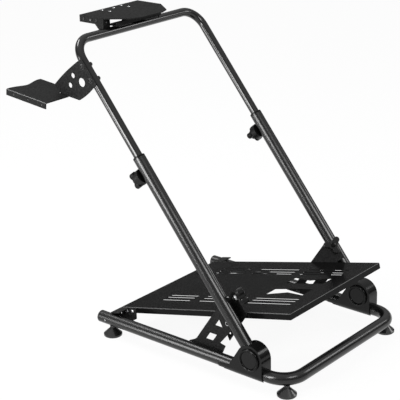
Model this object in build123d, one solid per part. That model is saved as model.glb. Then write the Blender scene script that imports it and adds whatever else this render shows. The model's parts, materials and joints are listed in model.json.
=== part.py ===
"""Folding racing wheel stand: bent tube base, leaning uprights, telescopic top frame.

Millimetres. +X is the driver's right, +Y points forward away from the driver, +Z is up.
Each piece is one solid in its own file. The frame is modelled about its middle plane X = 0
with the floor at Z = 0, and is then moved so that the origin is under the middle of its box.
"""
import os
from math import acos, atan2, cos, degrees, hypot, radians, sin, tan

from build123d import *

# Tubes
tube_od = 35.0
tube_wall = 1.5
leg_od = 25.4
leg_wall = 1.5
base_axis_height = 49.0
base_bar_y = 304.0
base_end_y = -370.0
base_bend_radius = 62.0
frame_bend_radius = 58.0

# Leaning uprights; the top bar is at the middle of its height setting
pivot_y = 190.7
pivot_z = 89.7
lean = 38.92
upright_length = 617.5
top_bar_rise = 372.5
leg_overlap = 217.5
bush_length = 32.0
bush_rim = 6.0
slide_fit = 0.1

# Hinge brackets on the base tubes
hinge_sheet = 3.0
hinge_side_gap = 0.3
hinge_user_y = 84.0
hinge_toe = 37.0
hinge_toe_rise = 6.0
hinge_lip_wrap = 55.0
hood_radius = 41.0
hood_gap = 5.0
knuckle_radius = 17.4
knuckle_side_gap = 0.5
pivot_bolt_d = 12.0
pivot_fit = 0.06
pivot_cap_d = 64.0
pivot_cap_t = 6.0
pivot_disc_d = 49.0
pivot_disc_t = 3.0
pivot_cap_step = 1.5

# Levelling feet
foot_d = 54.0
foot_neck_d = 16.0
foot_rim = 7.0
foot_cone_top = 25.0
foot_stud_d = 10.0
foot_user_y = -328.8
end_cap_rim = 4.0
end_cap_plug = 22.0

# Pedal plate
pedal_width = 430.0
pedal_side_gap = 26.25
pedal_length = 629.0
pedal_sheet = 1.6
pedal_bend = 3.0
pedal_lip = 17.5
pedal_tilt = 14.03
pedal_front_y = 275.4
pedal_front_z = 224.2
slot_width = 7.0
slot_rows = (103.0, 120.0, 142.0)
user_slot_length = 110.0
user_slot_middle = 471.0
middle_slot_length = 152.0
middle_slot_middle = 307.0
front_slot_length = 153.0
front_slot_middle = 127.0
window_inner_x = 25.0
window_outer_x = 72.0
window_near = 64.0
window_far = 194.0

# Side braces, pedal ears and pedal end brackets
brace_sheet = 3.0
brace_gap = 5.2
brace_lean = 56.0
brace_band = 66.0
brace_foot_y = -27.0
brace_heel = 35.0
brace_toe = 101.0
brace_toe_rise = 10.6
brace_foot_drop = 8.0
brace_foot_rise = 7.0
brace_top_along = 172.0
brace_back = 6.0
brace_window_inset = 23.0
brace_window_width = 20.5
brace_window_height = 22.5
brace_window_pitch = 49.5
brace_window_base = 27.0
ear_sheet = 3.0
ear_front = 16.6
ear_tip_along = 70.5
ear_tip_back = 91.3
ear_flange_low = 110.0
ear_top_along = 181.0
ear_user_along = 152.0
ear_user_back = 76.0
ear_corner = 5.0
ear_hole_d = 9.0
ear_hole_y = 76.0
ear_hole_z = 111.0
flange_width = 24.0
spacer_d = 16.0
spacer_bolt_d = 8.0
spacer_y = 82.0
spacer_z = 147.5
end_bracket_y = -301.0
end_bracket_length = 57.0
end_wing_length = 34.0
end_wing_drop = 1.0
end_bracket_sheet = 3.0
end_bracket_rise = 5.0
saddle_length = 92.0

# Knobs
knob_boss_d = 45.0
knob_boss_t = 19.0
knob_head_t = 17.0
knob_lobe_reach = 16.5
knob_lobe_r = 9.0
knob_hub_r = 14.0
knob_edge = 3.0
knob_screw_d = 8.0
knob_screw_fit = 0.1
knob_gap = 1.5
height_knob_drop = 44.5
brace_knob_boss_d = 26.0
brace_knob_boss_t = 6.0
brace_knob_head_t = 15.0
brace_knob_lobe_reach = 18.5
brace_knob_along = 161.5
knob_seat_gap = 0.3
brace_screw_length = 14.0

# Wheel plate on the top bar
wheel_plate_width = 245.0
wheel_plate_depth = 170.0
wheel_plate_set_back = 106.34
wheel_plate_rise = 37.86
wheel_sheet = 3.0
wheel_lip = 20.0
wheel_corner_x = 78.0
wheel_corner_cut = 30.0
wheel_corner_step = 12.0
wheel_lip_step = 46.0
wheel_lip_slope = 19.0
wheel_lip_seat = 1.0
wheel_lip_tab = 27.5
wheel_hole_d = 7.0
wheel_hole_pitch_x = 80.0
wheel_hole_pitch_y = 30.0
wheel_hole_margin = 11.0
wheel_centre_hole_margin = 18.0
lip_hole_d = 5.5
lip_hole_step = 66.0
lip_hole_height = 9.0
channel_length = 188.0
channel_wall_length = 70.0
channel_depth = 24.0
channel_front_lip = 12.0

# Shifter arm on the right leg
shifter_bolt_drop = 122.0
shifter_bolt_pitch = 45.0
shifter_bolt_d = 8.2
shifter_edge = 18.5
shifter_forward = 12.0
shifter_reach = 130.0
shifter_heel = 38.0
shifter_bulge = 4.0
shifter_corner = 6.0
shifter_big_hole_d = 25.4
shifter_small_hole_d = 15.0
shifter_sheet = 3.0
shifter_tab = 43.5
shifter_tab_gap = 12.0
shifter_outreach = 88.5
shifter_depth = 157.0
shifter_set_back = 87.4
shifter_set_down = 57.6
shifter_tilt = 5.6
shifter_lip = 18.0
shifter_wave = 12.5
shifter_bend = 2.5
shifter_lip_hole_d = 4.5
shifter_lip_hole_back = 72.8
shifter_lip_hole_pitch = 56.3

# Values that follow from the sizes above
tube_r = tube_od / 2
leg_r = leg_od / 2
half_track = pedal_width / 2 + pedal_side_gap + tube_r
tube_inner_r = tube_r - tube_wall
hinge_gap_r = tube_r + hinge_side_gap
brace_x = half_track - tube_r - brace_gap - brace_sheet
top_bar_along = upright_length + top_bar_rise
height_knob_along = upright_length - height_knob_drop
shifter_bolt_low = top_bar_along - shifter_bolt_drop
shifter_arm_x = half_track + leg_r
upright_plane = Plane(
    origin=(0, pivot_y, pivot_z),
    x_dir=(1, 0, 0),
    z_dir=(0, -cos(radians(lean)), -sin(radians(lean))),
)
pedal_plane = Plane(
    origin=(0, pedal_front_y, pedal_front_z),
    x_dir=(1, 0, 0),
    z_dir=(0, -sin(radians(pedal_tilt)), cos(radians(pedal_tilt))),
)


def left_of(solid):
    """Mirror a right-hand piece to the left."""
    return mirror(solid, about=Plane.YZ)


def upright_point(along, forward):
    """Y and Z of a point a distance along the upright and forward of its axis."""
    lean_angle = radians(lean)
    y = pivot_y - along * sin(lean_angle) + forward * cos(lean_angle)
    z = pivot_z + along * cos(lean_angle) + forward * sin(lean_angle)
    return y, z


def side_plate(outline, x_start, thickness):
    """Sheet in a plane of constant X, from a list of (Y, Z) corners."""
    face = make_face(Polyline(*outline, close=True))
    return Pos(x_start, 0, 0) * extrude(Plane.YZ * face, thickness)


def rod_x(radius, x_start, x_end, y, z):
    """Round bar along X between two X values."""
    length = x_end - x_start
    return Pos((x_start + x_end) / 2, y, z) * Rot(0, 90, 0) * Cylinder(radius, length)


def bent_tube(path, outer_d, wall):
    """Hollow round tube along a path of straight runs and bends."""
    ring = Circle(outer_d / 2) - Circle(outer_d / 2 - wall)
    start = Plane(origin=path @ 0, z_dir=path % 0)
    return sweep(start * ring, path=path)


def lobed_knob(boss_d, boss_t, head_t, lobe_reach, first_lobe):
    """Three-lobe clamping knob on a round boss, which stands on the plane Z = 0."""
    boss = Cylinder(boss_d / 2, boss_t, align=(Align.CENTER, Align.CENTER, Align.MIN))
    head = Circle(knob_hub_r)
    for turn in range(3):
        lobe = Pos(lobe_reach, 0) * Circle(knob_lobe_r)
        arm = Pos(lobe_reach / 2, 0) * Rectangle(lobe_reach, 2 * knob_lobe_r)
        head += Rot(0, 0, 120 * turn + first_lobe) * (lobe + arm)
    grip = extrude(Pos(0, 0, boss_t) * head, head_t)
    grip = fillet(grip.faces().sort_by(Axis.Z)[-1].edges(), knob_edge)
    return boss + grip


def knob_screw(radius, length):
    """Plain screw shank that points along -Z from the plane Z = 0."""
    return Cylinder(radius, length, align=(Align.CENTER, Align.CENTER, Align.MAX))


def base_tube():
    """Floor frame: one tube bent to a U, closed in front and open towards the driver."""
    path = FilletPolyline(
        (-half_track, base_end_y, base_axis_height),
        (-half_track, base_bar_y, base_axis_height),
        (half_track, base_bar_y, base_axis_height),
        (half_track, base_end_y, base_axis_height),
        radius=base_bend_radius,
    )
    tube = bent_tube(path, tube_od, tube_wall)
    for x, y in foot_places():
        tube -= Pos(x, y, base_axis_height - tube_r) * Cylinder(foot_stud_d / 2, tube_od)
    return tube


def foot_places():
    """The four feet: two under the open ends and two under the front bends."""
    corner = base_bend_radius * (1 - cos(radians(45)))
    front_x = half_track - corner
    front_y = base_bar_y - corner
    return (
        (half_track, foot_user_y),
        (-half_track, foot_user_y),
        (front_x, front_y),
        (-front_x, front_y),
    )


def levelling_foot(x, y):
    """Conical plastic foot turned about its stud, which ends inside the tube."""
    stud_top = base_axis_height
    profile = Polyline(
        (0, 0),
        (foot_d / 2 - 2, 0),
        (foot_d / 2, 2),
        (foot_d / 2, foot_rim),
        (foot_neck_d / 2, foot_cone_top),
        (foot_stud_d / 2, foot_cone_top),
        (foot_stud_d / 2, stud_top),
        (0, stud_top),
        close=True,
    )
    return Pos(x, y, 0) * revolve(Plane.XZ * make_face(profile), Axis.Z)


def end_cap():
    """Plastic plug in the open end of the right base tube."""
    rim = Cylinder(tube_r, end_cap_rim, align=(Align.CENTER, Align.CENTER, Align.MIN))
    rim = fillet(rim.faces().sort_by(Axis.Z)[-1].edges(), 2)
    plug = Cylinder(tube_inner_r, end_cap_plug, align=(Align.CENTER, Align.CENTER, Align.MAX))
    bore = Cylinder(tube_inner_r - 3, end_cap_plug, align=(Align.CENTER, Align.CENTER, Align.MAX))
    return Pos(half_track, base_end_y, base_axis_height) * Rot(90, 0, 0) * (rim + plug - bore)


def hinge_bracket():
    """Folded hood that straddles the right base tube and carries the pivot of the upright."""
    outer_r = hinge_gap_r + hinge_sheet
    floor_z = base_axis_height
    knee = (hinge_user_y + hinge_toe, floor_z + hinge_toe_rise)
    back = (knee[0] - pivot_y, knee[1] - pivot_z)
    crest_angle = degrees(atan2(back[1], back[0]) - acos(hood_radius / hypot(*back))) % 360
    hood = CenterArc((pivot_y, pivot_z), hood_radius, 0, crest_angle)
    sides = Polyline(
        hood @ 1,
        knee,
        (hinge_user_y, floor_z),
        (pivot_y + hood_radius, floor_z),
        hood @ 0,
    )
    body = extrude(Plane.YZ * make_face(hood + sides), outer_r, both=True)
    inner_hood = CenterArc((pivot_y, pivot_z), hood_radius - hinge_sheet, 0, 90)
    inside = Polyline(
        inner_hood @ 1,
        (hinge_user_y - hood_radius, pivot_z + hood_radius - hinge_sheet),
        (hinge_user_y - hood_radius, floor_z - hood_radius),
        (pivot_y + hood_radius - hinge_sheet, floor_z - hood_radius),
        inner_hood @ 0,
    )
    body -= extrude(Plane.YZ * make_face(inner_hood + inside), hinge_gap_r, both=True)
    # two lips follow the base tube round underneath
    length = pivot_y + hood_radius - hinge_user_y
    along_tube = Pos(0, hinge_user_y, base_axis_height) * Rot(-90, 0, 0)
    shell = Circle(outer_r) - Circle(hinge_gap_r)
    shell -= Pos(0, -outer_r) * Rectangle(4 * outer_r, 2 * outer_r)
    shell -= Rectangle(2 * outer_r * cos(radians(hinge_lip_wrap)), 4 * outer_r)
    body += along_tube * extrude(shell, length)
    body -= along_tube * Cylinder(hinge_gap_r, 4 * length)
    body = Pos(half_track, 0, 0) * body
    # the hood stops short of the front of the leaning tube
    reach = 4 * hood_radius
    path = Box(2 * hinge_gap_r, reach, reach, align=(Align.CENTER, Align.MIN, Align.MIN))
    body -= upright_plane * (Pos(half_track, 0, -tube_r - hood_gap) * path)
    body -= rod_x(pivot_bolt_d / 2, half_track - 2 * outer_r, half_track + 2 * outer_r, pivot_y, pivot_z)
    return body


def pivot_bolt():
    """Hinge bolt through both cheeks of the right bracket and the knuckle of the upright."""
    reach = hinge_gap_r + hinge_sheet
    return rod_x(pivot_bolt_d / 2, half_track - reach, half_track + reach, pivot_y, pivot_z)


def pivot_cap(outside):
    """Round cover on one cheek of the right bracket: a flat disc inside a half-round ring."""
    radius = pivot_cap_d / 2
    disc = pivot_disc_d / 2
    ring = ThreePointArc(
        (radius, pivot_cap_step),
        ((radius + disc) / 2, pivot_cap_t),
        (disc + pivot_cap_step / 2, pivot_cap_step),
    )
    sides = Polyline(
        (disc + pivot_cap_step / 2, pivot_cap_step),
        (disc, pivot_cap_step),
        (disc, pivot_disc_t),
        (0, pivot_disc_t),
        (0, 0),
        (radius, 0),
        (radius, pivot_cap_step),
    )
    cap = revolve(Plane.XZ * make_face(ring + sides), Axis.Z)
    face_x = half_track + outside * (hinge_gap_r + hinge_sheet)
    return Pos(face_x, pivot_y, pivot_z) * Rot(0, 90 * outside, 0) * cap


def lower_upright():
    """Right outer tube with its welded knuckle, in the frame of the leaning upright."""
    tube = Cylinder(tube_r, upright_length, align=(Align.CENTER, Align.CENTER, Align.MIN))
    tube -= Pos(0, 0, knuckle_radius) * Cylinder(
        tube_inner_r, upright_length, align=(Align.CENTER, Align.CENTER, Align.MIN)
    )
    tube = Rot(-90, 0, 0) * tube
    half_width = tube_r - knuckle_side_gap
    knuckle = Rot(0, 90, 0) * Cylinder(knuckle_radius, 2 * half_width)
    body = tube & Box(2 * half_width + 2 * knuckle_side_gap, 3 * upright_length, tube_od)
    body += knuckle
    body -= Box(4 * tube_od, 2 * knuckle_radius, 4 * tube_od) - Box(2 * half_width, 4 * tube_od, 4 * tube_od)
    body -= Rot(0, 90, 0) * Cylinder(pivot_bolt_d / 2 + pivot_fit, 2 * tube_od)
    hole_r = knob_screw_d / 2 + knob_screw_fit
    screw_hole = Cylinder(hole_r, tube_od, align=(Align.CENTER, Align.CENTER, Align.MIN))
    body -= Pos(0, height_knob_along, 0) * screw_hole
    return upright_plane * (Pos(half_track, 0, 0) * body)


def tube_bush():
    """Plastic guide bush with a rounded rim in the top of the right outer tube."""
    rim = Cylinder(tube_r, bush_rim, align=(Align.CENTER, Align.CENTER, Align.MIN))
    rim = fillet(rim.faces().sort_by(Axis.Z)[-1].edges(), 3)
    sleeve = Cylinder(tube_inner_r, bush_length, align=(Align.CENTER, Align.CENTER, Align.MAX))
    bush = rim + sleeve - Cylinder(leg_r + slide_fit, 4 * bush_length)
    return upright_plane * (Pos(half_track, upright_length, 0) * Rot(-90, 0, 0) * bush)


def height_knob():
    """Clamping knob on the driver's side of the right upright."""
    screw_length = tube_r + knob_gap - leg_r - knob_seat_gap
    knob = lobed_knob(knob_boss_d, knob_boss_t, knob_head_t, knob_lobe_reach, 60)
    knob += knob_screw(knob_screw_d / 2, screw_length)
    return upright_plane * (Pos(half_track, height_knob_along, tube_r + knob_gap) * knob)


def top_frame():
    """Inner tube bent to an inverted U: two legs that slide in the uprights, and the top bar."""
    leg_end = upright_length - leg_overlap
    path = FilletPolyline(
        (-half_track, leg_end, 0),
        (-half_track, top_bar_along, 0),
        (half_track, top_bar_along, 0),
        (half_track, leg_end, 0),
        radius=frame_bend_radius,
    )
    tube = bent_tube(path, leg_od, leg_wall)
    return upright_plane * tube


def bar_centre():
    """Y and Z of the axis of the top bar."""
    return upright_point(top_bar_along, 0)


def wheel_plate_corner():
    """Y of the wheel plate's driver's edge, and Z of its upper face."""
    bar_y, bar_z = bar_centre()
    return bar_y - wheel_plate_set_back, bar_z + wheel_plate_rise


def wheel_holes():
    """X and distance from the driver's edge of the holes for the wheel base."""
    half = wheel_hole_pitch_x / 2
    holes = [(0, wheel_centre_hole_margin)]
    for x in (-half, half):
        for row in range(2):
            holes.append((x, wheel_hole_margin + row * wheel_hole_pitch_y))
    return holes


def wheel_plate():
    """Level plate for the wheel base, with side lips that come down to the top bar."""
    half = wheel_plate_width / 2
    user_y, plate_z = wheel_plate_corner()
    front_y = user_y + wheel_plate_depth
    front_x = half - wheel_corner_x
    step_x = front_x + wheel_corner_cut
    step_y = front_y - wheel_corner_step
    bar_y, bar_z = bar_centre()
    side_front_y = bar_y - leg_r
    outline = Polyline(
        (-half, user_y),
        (half, user_y),
        (half, side_front_y),
        (step_x, step_y),
        (front_x, front_y),
        (-front_x, front_y),
        (-step_x, step_y),
        (-half, side_front_y),
        close=True,
    )
    top = plate_z - wheel_sheet
    low = plate_z - wheel_lip
    plate = extrude(Pos(0, 0, top) * make_face(outline), wheel_sheet)
    for x, y in wheel_holes():
        plate -= Pos(x, user_y + y, plate_z) * Cylinder(wheel_hole_d / 2, 4 * wheel_sheet)
    seat_z = bar_z - wheel_lip_seat
    flange = side_plate(
        (
            (user_y, top),
            (user_y, low),
            (bar_y - wheel_lip_step, low),
            (bar_y - wheel_lip_step + wheel_lip_slope, seat_z),
            (side_front_y, seat_z),
            (side_front_y, top),
        ),
        half - wheel_sheet,
        wheel_sheet,
    )
    # the lip's front end turns inwards behind the top bar
    tab = Box(wheel_lip_tab, wheel_sheet, top - seat_z, align=(Align.MAX, Align.MAX, Align.MIN))
    flange += Pos(half, side_front_y, seat_z) * tab
    flange -= rod_x(lip_hole_d / 2, 0, wheel_plate_width, bar_y - lip_hole_step, low + lip_hole_height)
    return plate + flange + left_of(flange)


def wheel_channel():
    """Folded channel welded on the top bar, with a short wall under the middle of the wheel plate."""
    bar_y, bar_z = bar_centre()
    floor_z = bar_z + leg_r
    top_z = wheel_plate_corner()[1] - wheel_sheet
    user_y = bar_y - channel_depth
    front_y = bar_y + channel_depth / 2
    outline = Polyline(
        (user_y, floor_z),
        (front_y, floor_z),
        (front_y, floor_z + channel_front_lip),
        (front_y - wheel_sheet, floor_z + channel_front_lip),
        (front_y - wheel_sheet, floor_z + wheel_sheet),
        (user_y, floor_z + wheel_sheet),
        close=True,
    )
    channel = extrude(Plane.YZ * make_face(outline), channel_length / 2, both=True)
    wall = Box(channel_wall_length, wheel_sheet, top_z - floor_z, align=(Align.CENTER, Align.MIN, Align.MIN))
    return channel + Pos(0, user_y, floor_z) * wall


def shifter_corner_place():
    """Y and Z of the front edge of the shifter plate's upper face."""
    bolt_y, bolt_z = upright_point(shifter_bolt_low, 0)
    return bolt_y - shifter_set_back, bolt_z - shifter_set_down


def under_shifter(y):
    """Height of the shifter plate's lower face at a given Y."""
    front_y, front_z = shifter_corner_place()
    tilt = radians(shifter_tilt)
    return front_z + (front_y - y) * tan(tilt) - shifter_sheet / cos(tilt)


def shifter_heel_y():
    """Y where the driver's edge of the shifter arm meets the shifter plate."""
    high = shifter_bolt_low + shifter_bolt_pitch + shifter_edge
    return upright_point(high - shifter_heel, -shifter_reach)[0]


def shifter_bracket():
    """Flat arm bolted through the right leg, with bowed edges, down to the side of the shifter plate."""
    low = shifter_bolt_low - shifter_edge
    high = shifter_bolt_low + shifter_bolt_pitch + shifter_edge
    top_front = Vector(*upright_point(high, shifter_forward))
    top_user = Vector(*upright_point(high, -shifter_reach))
    low_front = Vector(*upright_point(low, shifter_forward))
    toe_y = upright_point(low, -shifter_reach * 0.57)[0]
    toe = Vector(toe_y, under_shifter(toe_y) + shifter_sheet / 2)
    heel = Vector(shifter_heel_y(), under_shifter(shifter_heel_y()) + shifter_sheet / 2)
    along = Vector(-sin(radians(lean)), cos(radians(lean)))
    upper_edge = ThreePointArc(top_front, (top_front + top_user) * 0.5 + along * shifter_bulge, top_user)
    lower_edge = ThreePointArc(toe, (toe + low_front) * 0.5 - along * shifter_bulge, low_front)
    sides = Polyline(top_user, heel, toe) + Line(low_front, top_front)
    outline = make_face(upper_edge + sides + lower_edge)
    arm = Pos(shifter_arm_x, 0, 0) * extrude(Plane.YZ * outline, shifter_sheet)
    arm = fillet(arm.edges().filter_by(Axis.X).group_by(Axis.Z)[-1], shifter_corner)
    holes = [(step * shifter_bolt_pitch, 0, shifter_bolt_d) for step in range(2)]
    holes.append((shifter_edge * 0.7, shifter_reach * 0.254, shifter_big_hole_d))
    holes.append((shifter_bolt_pitch, shifter_reach * 0.385, shifter_small_hole_d))
    holes.append((shifter_bolt_pitch * 0.667, shifter_reach * 0.597, shifter_small_hole_d))
    for rise, back, diameter in holes:
        y, z = upright_point(shifter_bolt_low + rise, -back)
        arm -= rod_x(diameter / 2, shifter_arm_x - leg_od, shifter_arm_x + leg_od, y, z)
    return arm


def shifter_plate():
    """Tilted plate for the gear lever: welded to the arm's side, waved driver's edge, lip outside."""
    front_y, front_z = shifter_corner_place()
    depth = shifter_depth / cos(radians(shifter_tilt))
    tab_end = (front_y - shifter_heel_y()) / cos(radians(shifter_tilt)) + shifter_tab_gap
    width = shifter_outreach
    edge = Spline(
        (width, -depth),
        (width * 0.8, -depth),
        (width * 0.52, -depth + shifter_wave * 0.5),
        (width * 0.24, -depth + shifter_wave),
        (0, -depth + shifter_wave * 0.6),
        (-shifter_tab * 0.55, -depth),
        (-shifter_tab, -depth),
    )
    sides = Polyline(
        (-shifter_tab, -depth),
        (-shifter_tab, -tab_end),
        (0, -tab_end),
        (0, 0),
        (width, 0),
        (width, -depth),
    )
    plate = extrude(Pos(0, 0, -shifter_sheet) * make_face(edge + sides), shifter_sheet)
    lip = Box(shifter_sheet, depth, shifter_lip, align=(Align.MAX, Align.MAX, Align.MAX))
    plate += Pos(width, 0, 0) * lip
    plate = fillet(plate.edges().filter_by(Axis.Y).group_by(Axis.X)[-1].sort_by(Axis.Z)[-1], shifter_bend)
    for x, y, z in shifter_lip_holes():
        plate -= Pos(x, y, z) * Rot(0, 90, 0) * Cylinder(shifter_lip_hole_d / 2, 4 * shifter_sheet)
    face_x = shifter_arm_x + shifter_sheet
    return Pos(face_x, front_y, front_z) * Rot(-shifter_tilt, 0, 0) * plate


def shifter_lip_holes():
    """Centres of the three holes in the lip, in the frame of the plate."""
    z = -(shifter_lip + shifter_sheet) / 2
    first_y = -shifter_lip_hole_back - shifter_lip_hole_pitch
    return [(shifter_outreach, first_y + step * shifter_lip_hole_pitch, z) for step in range(3)]


def pedal_plate():
    """Sloping tray for the pedals: folded down on four sides, slotted for straps and bolts."""
    tray = Box(pedal_width, pedal_length, pedal_lip, align=(Align.CENTER, Align.MAX, Align.MAX))
    tray = fillet(tray.faces().sort_by(Axis.Z)[-1].edges(), pedal_bend)
    inner_width = pedal_width - 2 * pedal_sheet
    inner_length = pedal_length - 2 * pedal_sheet
    inside = Box(inner_width, inner_length, pedal_lip, align=(Align.CENTER, Align.MAX, Align.MAX))
    tray -= Pos(0, -pedal_sheet, -pedal_sheet) * inside
    for side in (-1, 1):
        for x in slot_rows:
            for length, middle in (
                (user_slot_length, user_slot_middle),
                (middle_slot_length, middle_slot_middle),
                (front_slot_length, front_slot_middle),
            ):
                slot = Rot(0, 0, 90) * SlotOverall(length, slot_width)
                tray -= extrude(Pos(side * x, -middle, -2 * pedal_sheet) * slot, 3 * pedal_sheet)
        window = Polyline(
            (side * window_outer_x, -window_near),
            (side * window_inner_x, -window_near),
            (side * (window_inner_x - 4), -(window_near + window_far) / 2),
            (side * window_inner_x, -window_far),
            (side * window_outer_x, -window_far),
            (side * (window_outer_x - 20), -(window_near + window_far) / 2),
            close=True,
        )
        tray -= extrude(Pos(0, 0, -2 * pedal_sheet) * make_face(window), 3 * pedal_sheet)
    return pedal_plane * tray


def pedal_height(y):
    """Height of the pedal plate's upper face at a given Y."""
    return pedal_front_z - (pedal_front_y - y) * tan(radians(pedal_tilt))


def brace_line(z, offset):
    """Y on the slanting brace at a height, a distance forward of its driver's edge."""
    rise = z - base_axis_height - tube_r - brace_foot_rise
    return brace_foot_y + rise / tan(radians(brace_lean)) + offset / sin(radians(brace_lean))


def side_brace():
    """Slotted brace beside the right upright, from the base tube up past the pedal plate."""
    low = base_axis_height - brace_foot_drop
    tube_top = base_axis_height + tube_r
    knee_z = tube_top + brace_foot_rise
    heel_y = brace_foot_y - brace_heel
    toe_y = brace_foot_y + brace_toe
    toe_z = tube_top + brace_toe_rise
    top = upright_point(brace_top_along, -brace_back)
    crotch = upright_point(brace_top_along * 0.58, -brace_back)
    outline = (
        (heel_y, low),
        (heel_y + brace_foot_drop, base_axis_height + brace_foot_drop),
        (brace_foot_y - brace_foot_drop, tube_top),
        (brace_line(knee_z, 0), knee_z),
        (brace_line(top[1], 0), top[1]),
        top,
        crotch,
        (brace_line(toe_z, brace_band), toe_z + brace_foot_rise / 2),
        (toe_y, toe_z),
        (toe_y - 2 * brace_foot_drop, low),
    )
    plate = side_plate(outline, brace_x, brace_sheet)
    z_low = knee_z + brace_foot_rise
    z_high = z_low + brace_window_height
    far_side = brace_window_inset + brace_window_width
    lower_window = (
        (brace_line(z_low, brace_window_inset), z_low),
        (brace_line(z_high, brace_window_inset), z_high),
        (brace_line(z_high, far_side), z_high),
        (brace_line(z_low, far_side), z_low),
    )
    corner_y = brace_line(z_low + brace_window_pitch, brace_window_inset)
    upper_window = (
        (corner_y, z_low + brace_window_pitch),
        (brace_line(z_high + brace_window_pitch, brace_window_inset), z_high + brace_window_pitch),
        (corner_y + brace_window_base, z_low + brace_window_pitch),
    )
    for window in (lower_window, upper_window):
        plate -= side_plate(window, brace_x - brace_sheet, 3 * brace_sheet)
    plate -= rod_x(spacer_bolt_d / 2, brace_x - brace_sheet, half_track, spacer_y, spacer_z)
    return plate


def brace_saddle():
    """Clamp pad that holds the foot of the right brace against the base tube."""
    middle_y = brace_foot_y + (brace_toe - brace_heel) / 2
    x_in = half_track - tube_r - brace_gap
    pad = Box(tube_r + brace_gap, saddle_length, tube_r, align=(Align.MIN, Align.CENTER, Align.CENTER))
    tube = Pos(half_track, middle_y, base_axis_height) * Rot(90, 0, 0) * Cylinder(tube_r, 2 * saddle_length)
    return Pos(x_in, middle_y, base_axis_height) * pad - tube


def pedal_ear():
    """Ear on the right edge of the pedal plate, with a flange turned out at 45 degrees for its knob."""
    x_start = pedal_width / 2
    outline = (
        upright_point(ear_tip_along, -ear_tip_back),
        upright_point(ear_flange_low - ear_corner, ear_front - ear_corner),
        upright_point(ear_flange_low, ear_front),
        upright_point(ear_top_along - ear_corner, ear_front),
        upright_point(ear_top_along, ear_front - ear_corner),
        upright_point(ear_top_along - ear_corner, 0),
        upright_point(ear_user_along, -ear_user_back),
    )
    plate = side_plate(outline, x_start, ear_sheet)
    low = ear_flange_low + ear_corner
    flange = Box(flange_width, ear_top_along - 2 * ear_corner - low, ear_sheet,
                 align=(Align.MIN, Align.MIN, Align.MIN))
    plate += upright_plane * (Pos(x_start, low, -ear_front) * Rot(0, 45, 0) * flange)
    plate -= knob_place() * Cylinder(knob_screw_d / 2 + knob_screw_fit, 4 * ear_sheet)
    plate -= rod_x(spacer_bolt_d / 2, x_start - ear_sheet, half_track, spacer_y, spacer_z)
    plate -= rod_x(ear_hole_d / 2, x_start - ear_sheet, half_track, ear_hole_y, ear_hole_z)
    return plate


def knob_place():
    """Middle of the right flange's front face, with Z along the axis of its knob."""
    middle = upright_plane * Pos(pedal_width / 2, brace_knob_along, -ear_front) * Rot(0, 45, 0)
    return middle * Pos(flange_width * 0.57, 0, 0) * Rot(180, 0, 0)


def brace_spacer():
    """Spacer and bolt between the pedal ear and the right brace."""
    return rod_x(spacer_d / 2, pedal_width / 2 + ear_sheet, brace_x, spacer_y, spacer_z)


def end_bracket():
    """Bracket at the driver's end of the pedal plate: a tab, a shelf and a wing to the base tube."""
    x_low = pedal_width / 2
    shelf_width = pedal_side_gap + tube_r / 2
    shelf_z = base_axis_height + end_bracket_rise - end_bracket_sheet
    front_y = end_bracket_y + end_bracket_length / 2
    user_y = end_bracket_y - end_bracket_length / 2
    outline = (
        (user_y, shelf_z),
        (front_y, shelf_z),
        (front_y, pedal_height(front_y) - end_bracket_sheet),
        (user_y, pedal_height(user_y) - end_bracket_sheet),
    )
    tab = side_plate(outline, x_low, end_bracket_sheet)
    sheet = end_bracket_sheet
    shelf = Box(shelf_width, end_bracket_length, sheet, align=(Align.MIN, Align.CENTER, Align.MIN))
    wing = Box(half_track - x_low, end_wing_length, sheet, align=(Align.MIN, Align.MIN, Align.MAX))
    bracket = tab + Pos(x_low, end_bracket_y, shelf_z) * shelf
    bracket += pedal_plane * (Pos(x_low, -pedal_length, -end_wing_drop) * wing)
    run = Rot(90, 0, 0) * Cylinder(tube_r, 4 * end_bracket_length)
    return bracket - Pos(half_track, end_bracket_y, base_axis_height) * run


def brace_knob():
    """Clamping knob on the turned-out flange of the right ear, its screw short of the upright."""
    knob = lobed_knob(brace_knob_boss_d, brace_knob_boss_t, brace_knob_head_t, brace_knob_lobe_reach, 90)
    knob += knob_screw(knob_screw_d / 2, brace_screw_length)
    return knob_place() * (Pos(0, 0, knob_seat_gap) * knob)


def all_pieces():
    """Every piece by its name, before the move to the origin."""
    pieces = {"base_tube": base_tube()}
    foot_names = ("foot_user_right", "foot_user_left", "foot_front_right", "foot_front_left")
    for name, (x, y) in zip(foot_names, foot_places()):
        pieces[name] = levelling_foot(x, y)
    pairs = {
        "base_end_cap": end_cap(),
        "hinge_bracket": hinge_bracket(),
        "pivot_bolt": pivot_bolt(),
        "pivot_cap_outer": pivot_cap(1),
        "pivot_cap_inner": pivot_cap(-1),
        "side_brace": side_brace(),
        "brace_saddle": brace_saddle(),
        "pedal_ear": pedal_ear(),
        "brace_spacer": brace_spacer(),
        "pedal_end_bracket": end_bracket(),
        "brace_knob": brace_knob(),
        "lower_upright": lower_upright(),
        "tube_bush": tube_bush(),
        "height_knob": height_knob(),
    }
    for name, solid in pairs.items():
        pieces[name + "_right"] = solid
        pieces[name + "_left"] = left_of(solid)
    pieces["pedal_plate"] = pedal_plate()
    pieces["top_frame"] = top_frame()
    pieces["wheel_channel"] = wheel_channel()
    pieces["wheel_plate"] = wheel_plate()
    pieces["shifter_bracket"] = shifter_bracket()
    pieces["shifter_plate"] = shifter_plate()
    return pieces


def origin_shift(pieces):
    """Move that puts the origin on the floor under the middle of the whole stand."""
    boxes = [solid.bounding_box() for solid in pieces.values()]
    middle_x = (min(box.min.X for box in boxes) + max(box.max.X for box in boxes)) / 2
    middle_y = (min(box.min.Y for box in boxes) + max(box.max.Y for box in boxes)) / 2
    return Vector(-middle_x, -middle_y, 0)


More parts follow.
